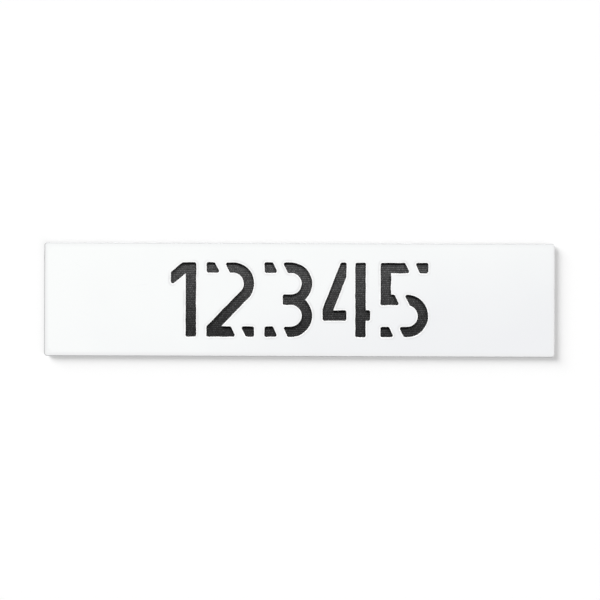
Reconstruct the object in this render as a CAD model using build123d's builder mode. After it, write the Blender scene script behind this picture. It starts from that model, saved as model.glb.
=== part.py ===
from build123d import *

import os
from math import acos, atan2, cos, degrees, floor, radians, tan

# Pavement stencil: a white plastic plate with a line of stencil-cut figures, lying on a
# dark ribbed sheet that shows through the cut-outs.
# Millimetres. The origin is the centre of the backing sheet's underside. +Z is up out of
# the plate's face, +X runs along the line of figures and +Y points to their tops.

# Cut-out figures
figure_height = 100.0
figure_gap = 14.0
stroke = 14.0
cutter_radius = 2.4

# Bridges, the strips of plate left across a stroke, and the arm tips and stubs beside them
bridge_width = 12.0
bridge_lean = 26.0
bridge_overcut = 1.4
tip_length = 14.5
stub_length = 4.0

# Details of single figures
one_width = 34.0
one_flag_drop = 28.0
three_waist_length = 11.0
four_crossbar_height = 29.0
four_stem_inset = 6.0

# Stencil plate
end_margin = 170.0
side_margin = 26.2
plate_thickness = 3.2
plate_corner_radius = 4.0
plate_edge_round = 0.8

# Backing sheet
backing_inset = 3.0
backing_thickness = 3.0
rib_pitch = 2.5
rib_width = 1.7
rib_height = 0.35
rib_flank_angle = 65.0

# Bridges as they cross a level stroke: the stretch they take up along it, how far their
# outline runs above and below its centre-line, and how far their lean carries the ends
bridge_run = bridge_width / cos(radians(bridge_lean))
bridge_reach = stroke / 2 + bridge_overcut
bridge_overhang = bridge_reach * tan(radians(bridge_lean))

# Levels and places that the figures share, from the lower left corner of a figure
base_line = stroke / 2
waist_line = figure_height / 2
top_line = figure_height - stroke / 2
bowl_radius = (top_line - base_line) / 4
bowl_x = stroke + stub_length + bridge_run + bridge_overhang
upper_bowl_y = top_line - bowl_radius
lower_bowl_y = base_line + bowl_radius
figure_width = bowl_x + bowl_radius + stroke / 2
left_bridge_x = tip_length + bridge_run / 2
right_bridge_x = figure_width - left_bridge_x


def cut_bridges(*places):
    """Leave a leaning bridge across a level stroke at each place."""
    half_run = bridge_run / 2
    with Locations(*places):
        Polygon(
            (bridge_overhang - half_run, -bridge_reach),
            (bridge_overhang + half_run, -bridge_reach),
            (half_run - bridge_overhang, bridge_reach),
            (-half_run - bridge_overhang, bridge_reach),
            mode=Mode.SUBTRACT,
        )


def trim_level(width):
    """Cut stroke ends level with the figure's own box."""
    Rectangle(width, figure_height, align=Align.MIN, mode=Mode.INTERSECT)


def round_corners():
    """Round every corner that the cutter cannot reach into."""
    offset(amount=-cutter_radius)
    offset(amount=cutter_radius)


def figure_one():
    """A stem with a flag falling to its left."""
    stem_x = one_width - stroke / 2
    with BuildSketch() as figure:
        with BuildLine():
            Line((stem_x, 0), (stem_x, figure_height))
        trace(line_width=stroke)
        with BuildLine():
            Line((-stroke / 2, figure_height - one_flag_drop), (stem_x, figure_height))
        trace(line_width=stroke)
        trim_level(one_width)
        round_corners()
    return figure.sketch


def figure_two():
    """An arm and bowl, a diagonal that leaves the bowl at a tangent, and a base arm."""
    heel = Vector(0, stroke)
    reach = heel - Vector(bowl_x, upper_bowl_y)
    inner_radius = bowl_radius - stroke / 2
    tangent_angle = degrees(atan2(reach.Y, reach.X) + acos(inner_radius / reach.length))
    foot = heel + Vector(stroke / 2, 0).rotate(Axis.Z, tangent_angle)
    with BuildSketch() as figure:
        with BuildLine():
            Line((0, top_line), (bowl_x, top_line))
            bowl = CenterArc((bowl_x, upper_bowl_y), bowl_radius, 90, tangent_angle - 90)
            Line(bowl @ 1, foot)
        trace(line_width=stroke)
        with BuildLine():
            Line((0, base_line), (figure_width, base_line))
        trace(line_width=stroke)
        trim_level(figure_width)
        cut_bridges((left_bridge_x, top_line), (right_bridge_x, base_line))
        round_corners()
    return figure.sketch


def figure_three():
    """Two bowls that share a waist, each with an arm to the left."""
    with BuildSketch() as figure:
        for arm_line, bowl_y in ((top_line, upper_bowl_y), (base_line, lower_bowl_y)):
            with BuildLine():
                CenterArc((bowl_x, bowl_y), bowl_radius, 90, -180)
            trace(line_width=stroke)
            with BuildLine():
                Line((0, arm_line), (bowl_x, arm_line))
            trace(line_width=stroke)
        with BuildLine():
            Line((bowl_x - three_waist_length, waist_line), (bowl_x, waist_line))
        trace(line_width=stroke)
        cut_bridges((left_bridge_x, top_line), (left_bridge_x, base_line))
        round_corners()
    return figure.sketch


def figure_four():
    """A stem crossed by an arm, and a diagonal kept off the stem by an upright bridge."""
    stem_x = figure_width - four_stem_inset - stroke / 2
    bridge_x = stem_x - stroke / 2 - bridge_width
    crossbar_top = four_crossbar_height + stroke / 2
    diagonal_run = (bridge_x - base_line) / (figure_height - crossbar_top)
    diagonal_x = base_line - diagonal_run * stroke / 2
    with BuildSketch() as figure:
        with BuildLine():
            Line((stem_x, 0), (stem_x, figure_height))
        trace(line_width=stroke)
        with BuildLine():
            Line((0, four_crossbar_height), (figure_width, four_crossbar_height))
        trace(line_width=stroke)
        with BuildLine():
            Line((diagonal_x, four_crossbar_height), (bridge_x, figure_height))
        trace(line_width=stroke)
        trim_level(figure_width)
        with Locations((bridge_x, 0)):
            Rectangle(bridge_width, figure_height, align=Align.MIN, mode=Mode.SUBTRACT)
        round_corners()
    return figure.sketch


def figure_five():
    """A stem below a top arm, and a bowl between a waist arm and a base arm."""
    waist_bridge_x = stroke + stub_length + bridge_overhang + bridge_run / 2
    with BuildSketch() as figure:
        with BuildLine():
            Line((base_line, waist_line - stroke / 2), (base_line, figure_height))
        trace(line_width=stroke)
        with BuildLine():
            Line((0, top_line), (figure_width, top_line))
        trace(line_width=stroke)
        with BuildLine():
            Line((0, waist_line), (bowl_x, waist_line))
            CenterArc((bowl_x, lower_bowl_y), bowl_radius, 90, -180)
            Line((bowl_x, base_line), (0, base_line))
        trace(line_width=stroke)
        cut_bridges(
            (right_bridge_x, top_line), (waist_bridge_x, waist_line), (left_bridge_x, base_line)
        )
        round_corners()
    return figure.sketch


# The line of figures, each with its width, and the plate and backing that take their size from it
figures = [
    (figure_one(), one_width),
    (figure_two(), figure_width),
    (figure_three(), figure_width),
    (figure_four(), figure_width),
    (figure_five(), figure_width),
]
line_length = sum(width for _, width in figures) + figure_gap * (len(figures) - 1)
plate_length = line_length + 2 * end_margin
plate_width = figure_height + 2 * side_margin
backing_length = plate_length - 2 * backing_inset
backing_width = plate_width - 2 * backing_inset
rib_count = floor((backing_width - rib_width) / rib_pitch) + 1

os.makedirs("parts", exist_ok=True)

# Stencil plate: a sheet with eased upper edges, cut through by the figures
with BuildPart() as stencil_plate:
    with BuildSketch(Plane.XY.offset(backing_thickness)):
        RectangleRounded(plate_length, plate_width, plate_corner_radius)
    extrude(amount=plate_thickness)
    fillet(stencil_plate.faces().sort_by(Axis.Z)[-1].edges(), plate_edge_round)
    with BuildSketch(Plane.XY.offset(backing_thickness)):
        figure_x = -line_length / 2
        for figure, width in figures:
            with Locations((figure_x, -figure_height / 2)):
                add(figure)
            figure_x += width + figure_gap
    extrude(amount=plate_thickness, mode=Mode.SUBTRACT)
stencil_plate.part.label = "stencil_plate"
export_step(stencil_plate.part, "parts/stencil_plate.step")

# Backing sheet: its ribs run along the plate, and the plate rests on their crests
with BuildPart() as backing_sheet:
    with BuildSketch(Plane.YZ.offset(-backing_length / 2)):
        Rectangle(backing_width, backing_thickness - rib_height, align=(Align.CENTER, Align.MIN))
        with Locations((0, backing_thickness - rib_height)):
            with GridLocations(rib_pitch, rib_pitch, rib_count, 1):
                Trapezoid(rib_width, rib_height, rib_flank_angle, align=(Align.CENTER, Align.MIN))
    extrude(amount=backing_length)
backing_sheet.part.label = "backing_sheet"
export_step(backing_sheet.part, "parts/backing_sheet.step")
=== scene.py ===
from math import cos, pi, radians, sin

import bmesh
import bpy
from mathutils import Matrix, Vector, noise
from mathutils.geometry import delaunay_2d_cdt
from mathutils.kdtree import KDTree


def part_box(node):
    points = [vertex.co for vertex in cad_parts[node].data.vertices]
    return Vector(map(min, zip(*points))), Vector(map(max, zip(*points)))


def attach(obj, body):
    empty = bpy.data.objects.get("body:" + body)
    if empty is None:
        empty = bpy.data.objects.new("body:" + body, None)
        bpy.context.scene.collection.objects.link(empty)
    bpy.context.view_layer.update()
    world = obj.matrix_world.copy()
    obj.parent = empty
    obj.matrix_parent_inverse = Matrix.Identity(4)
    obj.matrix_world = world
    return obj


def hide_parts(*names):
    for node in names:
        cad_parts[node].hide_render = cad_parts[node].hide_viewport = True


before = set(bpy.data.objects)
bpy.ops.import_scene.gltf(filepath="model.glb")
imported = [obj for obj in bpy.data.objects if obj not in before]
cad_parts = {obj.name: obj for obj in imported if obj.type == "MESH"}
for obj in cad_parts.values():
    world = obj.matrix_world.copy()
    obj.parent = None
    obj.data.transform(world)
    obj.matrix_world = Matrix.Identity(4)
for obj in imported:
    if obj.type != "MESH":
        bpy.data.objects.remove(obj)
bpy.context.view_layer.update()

# A pavement stencil seen from straight above. Metres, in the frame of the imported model.
# The plate's left and right ends are at -X and +X, and its near and far sides at -Y and +Y.
MM = 0.001
plate_low, plate_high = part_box("stencil_plate")
plate_length = plate_high.x - plate_low.x
plate_width = plate_high.y - plate_low.y

# Edges of the plate: their rounding, and the wander of the cutter round the cut-outs
OUTLINE_ROUND = 0.8 * MM
CUT_ROUND = 0.3 * MM
UNDER_EASE = 0.15 * MM
ROUND_STEPS = 3
WANDER = 0.45 * MM
WANDER_LENGTH = 11.0 * MM
CHATTER = 0.14 * MM
CHATTER_LENGTH = 4.0 * MM

# Mesh of the plate: steps along its edges, a face grid that is finer beside them, and the
# names of the distances that it keeps for the material
EDGE_STEP = 1.8 * MM
HOLD_WIDTH = 0.1 * MM
SEARCH_STEP = 0.3 * MM
GRID_CLEAR = 0.8 * MM
FINE_GRID = 1.4 * MM
FINE_REACH = 5.0 * MM
COARSE_GRID = 9.0 * MM
MERGE = 0.001 * MM
SMOOTH_ANGLE = radians(38)
OUTLINE_DISTANCE = "outline_distance"
CUT_DISTANCE = "cut_distance"

# In the materials, a noise scale is per metre, and a pair of limits gives the values where an
# effect starts and where it is full.

# White plastic: pale, with a painted shade that makes it darker and cooler towards its near right
# corner, in clouds
PLATE_PALE = (0.94, 0.955, 0.948, 1)
PLATE_COOL_SHADE = (0.846, 0.854, 0.87, 1)
COOL_CLOUDS = {"scale": 9, "detail": 2}
COOL_CLOUD_LEVEL = 1.2
COOL_NEAR_LEVEL = {"left": 0.3, "right": 1.0}
COOL_LIMITS = (-0.9, 2.3)
PLATE_GRAIN = {"scale": 650, "detail": 3}
PLATE_SURFACE = {"bump": 0.12, "bump_depth": 0.2 * MM, "roughness": (0.7, 0.85), "specular": 0.03}

# Scuffs and specks on the plate: each set of scuffs has a turn in degrees, and the length,
# width and depth that its noise is stretched to
SCUFF_GREY = (0.78, 0.79, 0.80, 1)
SCUFF_SETS = (
    {"turn": 8, "size": (90 * MM, 1.6 * MM, 1000 * MM)},
    {"turn": -31, "size": (50 * MM, 1.2 * MM, 1000 * MM)},
    {"turn": 74, "size": (60 * MM, 1.4 * MM, 1000 * MM)},
)
SCUFF_NOISE = {"scale": 1, "detail": 3}
SCUFF_LIMITS = (0.68, 0.80)
SCUFF_SHARE = 0.35
SCUFF_HEIGHT = -0.6
SPECK_SCALE = 90
SPECK_LIMITS = (0.07, 0.03)
SPECK_SHARE = 0.25

# Painted shade at the plate's outline: a wide darkening, and a narrow dark line at its edge.
# Each side has a level, and a level above 1 takes the full grey further in.
OUTLINE_SHADE_GREY = (0.83, 0.835, 0.84, 1)
OUTLINE_SHADE_WIDTH = 7.5 * MM
OUTLINE_SHADE = {"left": 1.0, "right": 1.0, "near": 1.3, "far": 0.45}
EDGE_LINE_SHADE_GREY = (0.30, 0.305, 0.31, 1)
EDGE_LINE_SHADE_WIDTH = 2.0 * MM
EDGE_LINE_SHADE = {"left": 0.8, "right": 0.25, "near": 0.05, "far": 0.5}
CORNER_BLEND = 6.0 * MM

# Round the cut-outs: a grey band in patches, and inside it a painted highlight, a pale rim of
# uneven width
CUT_BAND_GREY = (0.785, 0.79, 0.795, 1)
CUT_BAND_LIMITS = (4.8 * MM, 1.9 * MM)
PATCH_NOISE = {"scale": 60, "detail": 4}
PATCH_LIMITS = (0.32, 0.66)
CUT_HIGHLIGHT_WHITE = (0.985, 0.985, 0.985, 1)
CUT_HIGHLIGHT_LIMITS = (3.0 * MM, 1.8 * MM)
CUT_HIGHLIGHT_NOISE = {"scale": 260, "detail": 3}
CUT_HIGHLIGHT_UNEVEN = 2.0 * MM

# Walls of the plate: grey as painted shade, limits on how far the surface faces up or down, and
# upright tool marks
CUT_WALL_SHADE = (0.45, 0.455, 0.46, 1)
SAWN_WALL_SHADE = (0.55, 0.555, 0.56, 1)
WALL_LIMITS = (0.7, 0.2)
TOOL_MARK_SIZE = (0.4 * MM, 0.4 * MM, 20 * MM)
TOOL_MARK_NOISE = {"scale": 1, "detail": 1}

# Dark sheet: staggered pebbles in rows that sway about the ribs, painted shade in their gaps, and
# a painted sheen that makes it lighter towards the far side
RIB_PITCH = 2.5 * MM
PEBBLE_LENGTH = 2.2 * MM
PEBBLE_ROUND = 1.2 * MM
PEBBLE_DARK = (0.36, 0.36, 0.36, 1)
PEBBLE_LIGHT = (1, 1, 1, 1)
PEBBLE_GAP_SHADE = (0.21, 0.21, 0.21, 1)
SWAY = (3.2 * MM, 1.1 * MM, 0)
SWAY_SCALE = 240
SHEET_FAR = (0.242, 0.242, 0.245, 1)
SHEET_NEAR = (0.105, 0.105, 0.106, 1)
SHEET_FADE = 50 * MM
SHEET_GRAIN = {"scale": 1500, "detail": 2}
SHEET_GRAIN_HEIGHT = 0.3
SHEET_SURFACE = {"bump": 0.8, "bump_depth": 0.5 * MM, "roughness": (0.42, 0.62), "specular": 0.0}

# Camera: the picture is 600 pixels wide, and the plate fills about 511 of them
FRAME_PIXELS = 600
PLATE_PIXELS = 510.7
PLATE_CENTRE_PIXEL = (299.5, 299.8)
PLATE_TURN = radians(0.18)
LENS_MM = 50.0
SENSOR_MM = 36.0

# Light: two keys from the far side on the object, a softbox and a fill on the floor, and a dome
# on everything. Angles are in degrees, with azimuths from +X towards +Y.
WHITE = (1, 1, 1, 1)
WORLD_LEVEL = 0.16
OBJECT_LAMPS = {
    "left_key": {"azimuth": 118, "elevation": 40, "spread": 8, "level": 0.435},
    "right_key": {"azimuth": 58, "elevation": 40, "spread": 8, "level": 0.435},
}
FLOOR_LAMPS = {
    "softbox": {"azimuth": 142, "elevation": 24, "spread": 36, "level": 0.65},
    "fill": {"azimuth": 321, "elevation": 38, "spread": 50, "level": 0.18},
}
FLOOR_SIZE = 12.0
FLOOR_DROP = 0.1 * MM
FLOOR_COLOUR = (0.68, 0.68, 0.68, 1)
FLOOR_GLOW = 0.332


# Mesh of the plate

def sides_of(loop):
    """Pairs of neighbours round a closed loop."""
    return zip(loop, loop[1:] + loop[:1])


def loop_length(loop):
    """Length round a closed loop."""
    return sum((end - start).length for start, end in sides_of(loop))


def flat_sides(node, level):
    """Points of a node's flat faces at a height, and the sides of those faces."""
    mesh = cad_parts[node].data
    points = []
    numbers = {}
    sides = set()
    for polygon in mesh.polygons:
        corners = [mesh.vertices[v].co for v in polygon.vertices]
        if any(abs(corner.z - level) > MERGE for corner in corners):
            continue
        ring = []
        for corner in corners:
            key = (round(corner.x / MERGE), round(corner.y / MERGE))
            if key not in numbers:
                numbers[key] = len(points)
                points.append(corner.xy)
            ring.append(numbers[key])
        sides.update(sides_of(ring))
    return points, sides


def flat_loops(node, level):
    """Closed outlines of a node's flat faces at a height, the longest first."""
    points, sides = flat_sides(node, level)
    following = {start: end for start, end in sides if (end, start) not in sides}
    loops = []
    while following:
        first, current = following.popitem()
        loop = [first]
        while current != first:
            loop.append(current)
            current = following.pop(current)
        loops.append([points[i] for i in loop])
    return sorted(loops, key=loop_length, reverse=True)


def divided(loop, step):
    """The loop with more points on the sides that are longer than a step."""
    result = []
    for start, end in sides_of(loop):
        count = max(1, int((end - start).length / step))
        result += [start.lerp(end, i / count) for i in range(count)]
    return result


def inset(loop, depths):
    """The loop moved into the plate, which lies on its right, by a depth for each point."""
    result = []
    befores, afters = loop[-1:] + loop[:-1], loop[1:] + loop[:1]
    for before, point, after, depth in zip(befores, loop, afters, depths):
        normals = []
        for side in (point - before, after - point):
            normals.append(Vector((side.y, -side.x)).normalized())
        middle = (normals[0] + normals[1]).normalized()
        result.append(point + middle * depth / middle.dot(normals[0]))
    return result


def cutter_stray(point):
    """How far the hand-led cutter strays from its line at a point."""
    slow = noise.noise((point.x / WANDER_LENGTH, point.y / WANDER_LENGTH, 0))
    fast = noise.noise((point.x / CHATTER_LENGTH, point.y / CHATTER_LENGTH, 0))
    return WANDER * slow + CHATTER * fast


def edge_profile(rounding):
    """Depth into the plate and height of each ring of an edge, from the underside to the face."""
    rings = [(UNDER_EASE, plate_low.z), (0, plate_low.z + UNDER_EASE)]
    for step in range(ROUND_STEPS + 1):
        angle = step / ROUND_STEPS * pi / 2
        height = plate_high.z - rounding * (1 - sin(angle))
        rings.append((rounding * (1 - cos(angle)), height))
    rings.append((rounding + HOLD_WIDTH, plate_high.z))
    return rings


def build_edge(mesh, loop, rounding):
    """Build an edge of the plate along a loop, and return its lowest and highest rings."""
    rings = []
    for depth, height in edge_profile(rounding):
        points = inset(loop, [depth] * len(loop))
        rings.append([mesh.verts.new((*point, height)) for point in points])
    for low, high in zip(rings, rings[1:]):
        for i in range(len(loop)):
            mesh.faces.new((low[i], low[i - 1], high[i - 1], high[i]))
    return [[vertex.co.xy for vertex in ring] for ring in (rings[0], rings[-1])]


def search_tree(loops):
    """A tree that finds the nearest point on some loops."""
    points = [point for loop in loops for point in divided(loop, SEARCH_STEP)]
    tree = KDTree(len(points))
    for i, point in enumerate(points):
        tree.insert((point.x, point.y, 0), i)
    tree.balance()
    return tree


def distance_to(tree, point):
    """Distance from a point to the loops in a tree, seen from above."""
    return tree.find((point.x, point.y, 0))[2]


def face_grid(loops):
    """Points for the face between some loops: close together beside them, wide apart elsewhere."""
    tree = search_tree(loops)
    points = []
    for step, nearest, furthest in (
        (FINE_GRID, GRID_CLEAR, FINE_REACH),
        (COARSE_GRID, FINE_REACH, plate_length),
    ):
        for column in range(int(plate_length / step)):
            for row in range(int(plate_width / step)):
                point = plate_low.xy + Vector((column + 0.5, row + 0.5)) * step
                if nearest < distance_to(tree, point) <= furthest:
                    points.append(point)
    return points


def fill_between(mesh, loops, height, spare_points):
    """Close a flat face of the plate between its outline, the first loop, and the cut-outs."""
    outline, *cuts = loops
    points = list(outline)
    outline_sides = list(sides_of(list(range(len(outline)))))
    holes = []
    for cut in cuts:
        holes.append(list(range(len(points), len(points) + len(cut))))
        points += cut
    triangles_inside = 1
    places, _, faces, _, _, hole_lists = delaunay_2d_cdt(
        points + spare_points, outline_sides, holes, triangles_inside, MERGE
    )
    faces = [face for face, in_holes in zip(faces, hole_lists) if not in_holes]
    used = {i for face in faces for i in face}
    vertices = {i: mesh.verts.new((*places[i], height)) for i in used}
    for face in faces:
        mesh.faces.new([vertices[i] for i in face])


def store_distance(mesh, name, loops):
    """Keep at each vertex how far it is from the nearest of some loops."""
    tree = search_tree(loops)
    layer = mesh.verts.layers.float.new(name)
    for vertex in mesh.verts:
        vertex[layer] = distance_to(tree, vertex.co)


def make_plate():
    """The plate as one closed mesh with eased edges, which knows how far it is from them."""
    loops = flat_loops("stencil_plate", plate_low.z)
    outline, *cuts = [divided(loop, EDGE_STEP) for loop in loops]
    cuts = [inset(loop, map(cutter_stray, loop)) for loop in cuts]
    mesh = bmesh.new()
    edges = [build_edge(mesh, outline, OUTLINE_ROUND)]
    edges += [build_edge(mesh, cut, CUT_ROUND) for cut in cuts]
    under_loops, face_loops = zip(*edges)
    fill_between(mesh, under_loops, plate_low.z, [])
    fill_between(mesh, face_loops, plate_high.z, face_grid(face_loops))
    bmesh.ops.remove_doubles(mesh, verts=mesh.verts, dist=MERGE)
    bmesh.ops.recalc_face_normals(mesh, faces=mesh.faces)
    store_distance(mesh, OUTLINE_DISTANCE, [outline])
    store_distance(mesh, CUT_DISTANCE, cuts)
    data = bpy.data.meshes.new("stencil_plate_sheet")
    mesh.to_mesh(data)
    mesh.free()
    data.shade_smooth()
    data.set_sharp_from_angle(angle=SMOOTH_ANGLE)
    plate = bpy.data.objects.new("stencil_plate_sheet", data)
    bpy.context.scene.collection.objects.link(plate)
    return plate


# Nodes

def add_node(tree, kind, inputs, **settings):
    """A new node with its settings and inputs, where an input is a value or a node's output."""
    node = tree.nodes.new("ShaderNode" + kind)
    for name, value in settings.items():
        setattr(node, name, value)
    for name, value in inputs.items():
        if isinstance(value, bpy.types.NodeSocket):
            tree.links.new(value, node.inputs[name])
        else:
            node.inputs[name].default_value = value
    return node


def new_material(name):
    """An empty material, its node tree and its shader."""
    material = bpy.data.materials.new(name)
    material.use_nodes = True
    tree = material.node_tree
    return material, tree, tree.nodes["Principled BSDF"]


def connect(tree, shader, **outputs):
    """Join node outputs to the shader's inputs, whose names have spaces for underscores."""
    for name, output in outputs.items():
        tree.links.new(output, shader.inputs[name.replace("_", " ")])


def object_place(tree):
    """Where a point of the surface lies in its own piece."""
    return add_node(tree, "TexCoord", {}).outputs["Object"]


def axis(tree, vector, name):
    """One of the parts X, Y and Z of a vector."""
    return add_node(tree, "SeparateXYZ", {0: vector}).outputs[name]


def stored(tree, name):
    """A value that the mesh keeps at its vertices."""
    return add_node(tree, "Attribute", {}, attribute_name=name).outputs["Fac"]


def compute(tree, operation, *values):
    """The result of an operation on values and outputs."""
    return add_node(tree, "Math", dict(enumerate(values)), operation=operation).outputs[0]


def highest(tree, first, *others):
    """The highest of several outputs."""
    for other in others:
        first = compute(tree, "MAXIMUM", first, other)
    return first


def between(tree, position, low, high):
    """A level that goes evenly from low to high as a position goes from -1 to 1."""
    return compute(tree, "MULTIPLY_ADD", position, (high - low) / 2, (high + low) / 2)


def ramp(tree, value, start, full):
    """A value as an amount: 0 at the start limit, 1 at the full limit, and smooth between."""
    inputs = {"Value": value, "From Min": start, "From Max": full}
    return add_node(tree, "MapRange", inputs, interpolation_type="SMOOTHSTEP").outputs[0]


def mix(tree, factor, first, second, mode="MIX"):
    """Two colours mixed by a factor."""
    factor_socket, first_socket, second_socket, result_socket = 0, 6, 7, 2
    inputs = {factor_socket: factor, first_socket: first, second_socket: second}
    node = add_node(tree, "Mix", inputs, data_type="RGBA", blend_type=mode)
    return node.outputs[result_socket]


def stained(tree, colour, amount, share, stain):
    """A colour covered by another in an amount times a share."""
    return mix(tree, compute(tree, "MULTIPLY", amount, share), colour, stain)


def stretched(tree, place, size, turn=0.0):
    """Places turned by an angle in degrees about the upright axis and divided by a size."""
    inputs = {"Vector": place, "Scale": size, "Rotation": (0, 0, radians(turn))}
    return add_node(tree, "Mapping", inputs, vector_type="TEXTURE").outputs[0]


def cloud(tree, place, scale, detail):
    """A noise field between 0 and 1."""
    inputs = {"Vector": place, "Scale": scale, "Detail": detail}
    return add_node(tree, "TexNoise", inputs).outputs[0]


def finish_surface(tree, shader, colour, height, grain, bump, bump_depth, roughness, specular):
    """Give the shader a colour, a relief, a roughness that follows the grain, and a gloss."""
    inputs = {"Height": height, "Strength": bump, "Distance": bump_depth}
    normal = add_node(tree, "Bump", inputs).outputs[0]
    smoothest, roughest = roughness
    inputs = {"Value": grain, "To Min": smoothest, "To Max": roughest}
    rough = add_node(tree, "MapRange", inputs).outputs[0]
    shader.inputs["Specular IOR Level"].default_value = specular
    connect(tree, shader, Base_Color=colour, Roughness=rough, Normal=normal)


# White plastic

def face_tint_and_shade(tree, place, along, across):
    """The plain colour of the face: pale at the far left, with a painted shade, darker and cooler,
    towards the near right.
    """
    near_level = between(tree, along, COOL_NEAR_LEVEL["left"], COOL_NEAR_LEVEL["right"])
    corner = compute(tree, "SUBTRACT", along, compute(tree, "MULTIPLY", across, near_level))
    clouds = cloud(tree, place, **COOL_CLOUDS)
    cool = compute(tree, "MULTIPLY_ADD", clouds, COOL_CLOUD_LEVEL, corner)
    # Painted shade: darker and cooler towards the near right corner, broken by clouds
    return mix(tree, ramp(tree, cool, *COOL_LIMITS), PLATE_PALE, PLATE_COOL_SHADE)


def scuff_field(tree, place):
    """1 on hairline scuffs that run several ways, and 0 elsewhere."""
    fields = []
    for scuffs in SCUFF_SETS:
        field = cloud(tree, stretched(tree, place, **scuffs), **SCUFF_NOISE)
        fields.append(ramp(tree, field, *SCUFF_LIMITS))
    return highest(tree, *fields)


def speck_field(tree, place):
    """1 on small specks, and 0 elsewhere."""
    cells = add_node(tree, "TexVoronoi", {"Vector": place, "Scale": SPECK_SCALE})
    return ramp(tree, cells.outputs["Distance"], *SPECK_LIMITS)


def by_side(tree, along, across, left, right, near, far):
    """A level of its own for each side of the plate, blended at the corners."""
    end_level = between(tree, along, left, right)
    side_level = between(tree, across, near, far)
    blend_start = 1 - CORNER_BLEND / plate_high.x
    at_end = ramp(tree, compute(tree, "ABSOLUTE", along), blend_start, 1)
    difference = compute(tree, "SUBTRACT", end_level, side_level)
    return compute(tree, "MULTIPLY_ADD", at_end, difference, side_level)


def outline_shade(tree, colour, along, across, to_outline):
    """A colour with painted shade along the plate's outline: a wide darkening and a narrow dark
    line.
    """
    # Painted shade along the outline, with a level of its own on each side
    for width, levels, grey in (
        (OUTLINE_SHADE_WIDTH, OUTLINE_SHADE, OUTLINE_SHADE_GREY),
        (EDGE_LINE_SHADE_WIDTH, EDGE_LINE_SHADE, EDGE_LINE_SHADE_GREY),
    ):
        level = by_side(tree, along, across, **levels)
        colour = stained(tree, colour, ramp(tree, to_outline, width, 0), level, grey)
    return colour


def cut_band_and_highlight(tree, colour, place, to_cut):
    """A colour with a grey band in patches beside the cut-outs, and a painted highlight, a pale
    rim, round each.
    """
    patches = ramp(tree, cloud(tree, place, **PATCH_NOISE), *PATCH_LIMITS)
    colour = stained(tree, colour, ramp(tree, to_cut, *CUT_BAND_LIMITS), patches, CUT_BAND_GREY)
    # Painted highlight: a pale rim of uneven width round each cut-out
    uneven = compute(tree, "MULTIPLY_ADD", cloud(tree, place, **CUT_HIGHLIGHT_NOISE), CUT_HIGHLIGHT_UNEVEN, to_cut)
    return mix(tree, ramp(tree, uneven, *CUT_HIGHLIGHT_LIMITS), colour, CUT_HIGHLIGHT_WHITE)


def wall_field(tree):
    """1 on the plate's upright walls, and 0 on its flat faces."""
    upward = axis(tree, add_node(tree, "NewGeometry", {}).outputs["Normal"], "Z")
    return ramp(tree, compute(tree, "ABSOLUTE", upward), *WALL_LIMITS)


def white_plastic():
    """Milky sheet plastic with scuffs, specks and a fine grain; painted shade at its outline, on
    its walls and towards its near right; a grey band and a painted highlight round the cut-outs.
    """
    material, tree, shader = new_material("white_plastic")
    place = object_place(tree)
    along = compute(tree, "DIVIDE", axis(tree, place, "X"), plate_high.x)
    across = compute(tree, "DIVIDE", axis(tree, place, "Y"), plate_high.y)
    to_outline = stored(tree, OUTLINE_DISTANCE)
    scuffs = scuff_field(tree, place)
    colour = face_tint_and_shade(tree, place, along, across)
    colour = stained(tree, colour, scuffs, SCUFF_SHARE, SCUFF_GREY)
    colour = stained(tree, colour, speck_field(tree, place), SPECK_SHARE, SCUFF_GREY)
    # Painted shade along the outline
    colour = outline_shade(tree, colour, along, across, to_outline)
    # A grey band beside the cut-outs, and a painted highlight round each
    colour = cut_band_and_highlight(tree, colour, place, stored(tree, CUT_DISTANCE))
    wall = wall_field(tree)
    by_outline = ramp(tree, to_outline, OUTLINE_SHADE_WIDTH, 0)
    # Painted shade: the walls are grey, much darker than the face of the same white plastic
    colour = mix(tree, wall, colour, mix(tree, by_outline, CUT_WALL_SHADE, SAWN_WALL_SHADE))
    grain = cloud(tree, place, **PLATE_GRAIN)
    marks = cloud(tree, stretched(tree, place, TOOL_MARK_SIZE), **TOOL_MARK_NOISE)
    height = compute(tree, "MULTIPLY_ADD", scuffs, SCUFF_HEIGHT, grain)
    height = compute(tree, "MULTIPLY_ADD", wall, marks, height)
    finish_surface(tree, shader, colour, height, grain, **PLATE_SURFACE)
    return material


# Dark rubber

def pebbles(tree, place):
    """Tone and height of the sheet's staggered pebbles, with painted shade in the gaps between
    them.
    """
    sway = add_node(tree, "TexNoise", {"Vector": place, "Scale": SWAY_SCALE}).outputs["Color"]
    inputs = {0: sway, 1: SWAY, 2: place}
    swayed = add_node(tree, "VectorMath", inputs, operation="MULTIPLY_ADD").outputs[0]
    inputs = {
        "Vector": swayed,
        "Color1": PEBBLE_DARK,
        "Color2": PEBBLE_LIGHT,
        # Painted shade in the gaps between the pebbles
        "Mortar": PEBBLE_GAP_SHADE,
        "Scale": 1,
        "Mortar Size": PEBBLE_ROUND,
        "Mortar Smooth": 1,
        "Brick Width": PEBBLE_LENGTH,
        "Row Height": RIB_PITCH,
    }
    bricks = add_node(tree, "TexBrick", inputs)
    return bricks.outputs["Color"], compute(tree, "SUBTRACT", 1, bricks.outputs["Fac"])


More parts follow.
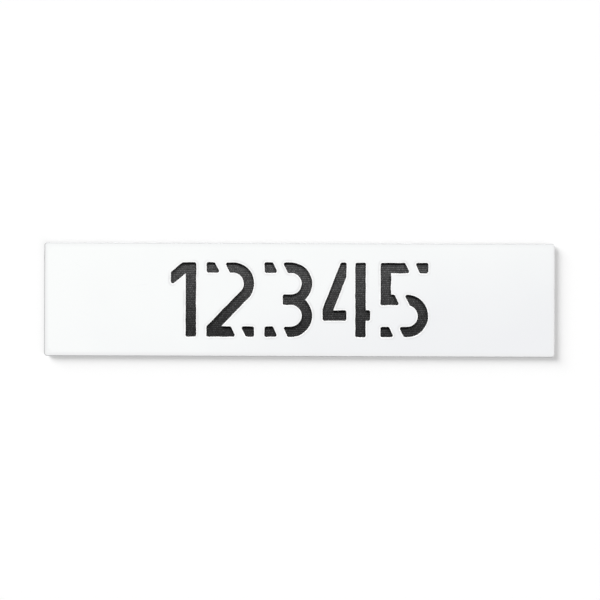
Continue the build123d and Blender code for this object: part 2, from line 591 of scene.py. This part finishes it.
def dark_rubber():
    """Near-black ribbed rubber with pebbles on its ribs, and a painted sheen that makes it lighter
    towards the far side.
    """
    material, tree, shader = new_material("dark_rubber")
    place = object_place(tree)
    shade, pebble = pebbles(tree, place)
    # Painted sheen: the sheet is lighter towards the far side
    far_sheen = ramp(tree, axis(tree, place, "Y"), -SHEET_FADE, SHEET_FADE)
    colour = mix(tree, 1, mix(tree, far_sheen, SHEET_NEAR, SHEET_FAR), shade, "MULTIPLY")
    grain = cloud(tree, place, **SHEET_GRAIN)
    height = compute(tree, "MULTIPLY_ADD", grain, SHEET_GRAIN_HEIGHT, pebble)
    finish_surface(tree, shader, colour, height, grain, **SHEET_SURFACE)
    return material


# Stage

def seen_directly(tree):
    """1 for rays that show the background, straight or in a gloss or glass, and 0 for light."""
    path = add_node(tree, "LightPath", {}).outputs
    return highest(tree, path["Is Camera Ray"], path["Is Glossy Ray"], path["Is Transmission Ray"])


def make_floor():
    """A pale floor that glows enough to look white and still takes the object's shadow."""
    material, tree, shader = new_material("pale_floor")
    shader.inputs["Base Color"].default_value = FLOOR_COLOUR
    shader.inputs["Roughness"].default_value = 1
    shader.inputs["Specular IOR Level"].default_value = 0
    shader.inputs["Emission Color"].default_value = WHITE
    glow = compute(tree, "MULTIPLY", seen_directly(tree), FLOOR_GLOW)
    connect(tree, shader, Emission_Strength=glow)
    bpy.ops.mesh.primitive_plane_add(size=FLOOR_SIZE, location=(0, 0, -FLOOR_DROP))
    floor = bpy.context.object
    floor.name = "floor"
    floor.data.materials.append(material)
    return floor


def make_world():
    """An even dome, white where it is seen."""
    world = bpy.data.worlds.new("studio")
    bpy.context.scene.world = world
    world.use_nodes = True
    tree = world.node_tree
    background = tree.nodes["Background"]
    background.inputs["Color"].default_value = WHITE
    inputs = {"Value": seen_directly(tree), "To Min": WORLD_LEVEL, "To Max": 1}
    connect(tree, background, Strength=add_node(tree, "MapRange", inputs).outputs[0])


def make_lamp(name, lit, azimuth, elevation, spread, level):
    """A far lamp that lights only some objects, and would light level white ground to a level."""
    turn, rise = radians(azimuth), radians(elevation)
    data = bpy.data.lights.new(name, "SUN")
    data.energy = level * pi / sin(rise)
    data.angle = radians(spread)
    lamp = bpy.data.objects.new(name, data)
    bpy.context.scene.collection.objects.link(lamp)
    direction = Vector((cos(turn) * cos(rise), sin(turn) * cos(rise), sin(rise)))
    lamp.location = direction
    lamp.rotation_euler = direction.to_track_quat("Z", "Y").to_euler()
    receivers = bpy.data.collections.new(name + "_receivers")
    for piece in lit:
        receivers.objects.link(piece)
    lamp.light_linking.receiver_collection = receivers


def make_camera():
    """A camera straight above the plate, framed as in the picture."""
    data = bpy.data.cameras.new("camera")
    data.lens = LENS_MM
    data.sensor_width = SENSOR_MM
    camera = bpy.data.objects.new("camera", data)
    bpy.context.scene.collection.objects.link(camera)
    pixel = plate_length / PLATE_PIXELS
    half_frame = FRAME_PIXELS / 2
    camera.location = (
        (half_frame - PLATE_CENTRE_PIXEL[0]) * pixel,
        (PLATE_CENTRE_PIXEL[1] - half_frame) * pixel,
        plate_high.z + FRAME_PIXELS * pixel * LENS_MM / SENSOR_MM,
    )
    camera.rotation_euler.z = PLATE_TURN
    bpy.context.scene.camera = camera


# Scene

bpy.context.scene.view_settings.view_transform = "Standard"

plate = make_plate()
plate.data.materials.append(white_plastic())
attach(plate, "stencil")
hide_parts("stencil_plate")

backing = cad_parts["backing_sheet"]
backing.data.materials.clear()
backing.data.materials.append(dark_rubber())

floor = make_floor()
make_world()
for lamps, lit in ((OBJECT_LAMPS, [plate, backing]), (FLOOR_LAMPS, [floor])):
    for lamp_name, lamp in lamps.items():
        make_lamp(lamp_name, lit, **lamp)
make_camera()
